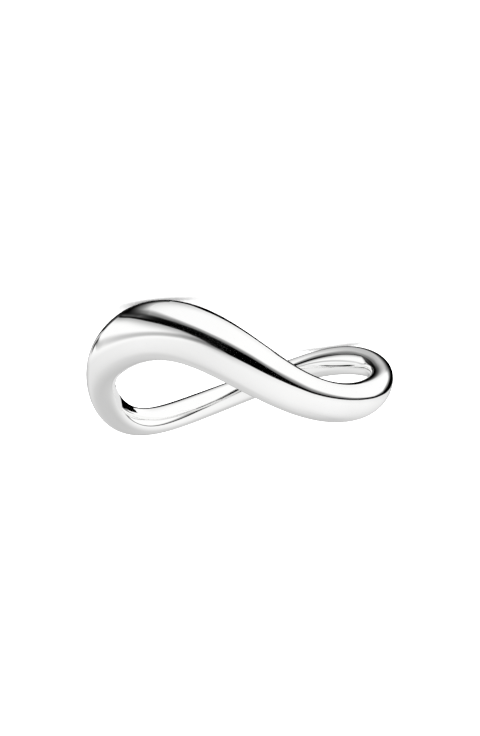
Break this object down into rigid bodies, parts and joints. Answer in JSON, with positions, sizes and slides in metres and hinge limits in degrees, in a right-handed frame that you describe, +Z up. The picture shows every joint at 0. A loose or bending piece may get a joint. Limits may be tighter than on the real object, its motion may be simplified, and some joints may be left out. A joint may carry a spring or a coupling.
{
  "type": "infinity ring",
  "caption": "One-piece polished finger ring whose wavy band, broad in front and slim behind, shows a lying eight from the side.",
  "frame": {"origin": "on the floor, under the middle of the ring's box as it lies", "axes": "+Z up, out of the finger hole, whose own axis leans about 10 degrees from it; -Y towards the viewer who sees the lying eight; +X to that viewer's right, where the broad crest rests on the floor"},
  "size_m": [0.0208, 0.0212, 0.0076],
  "materials": {
    "silver": "mirror-polished sterling silver"
  },
  "bodies": {
    "root": {"band": "silver"}
  },
  "joints": []
}
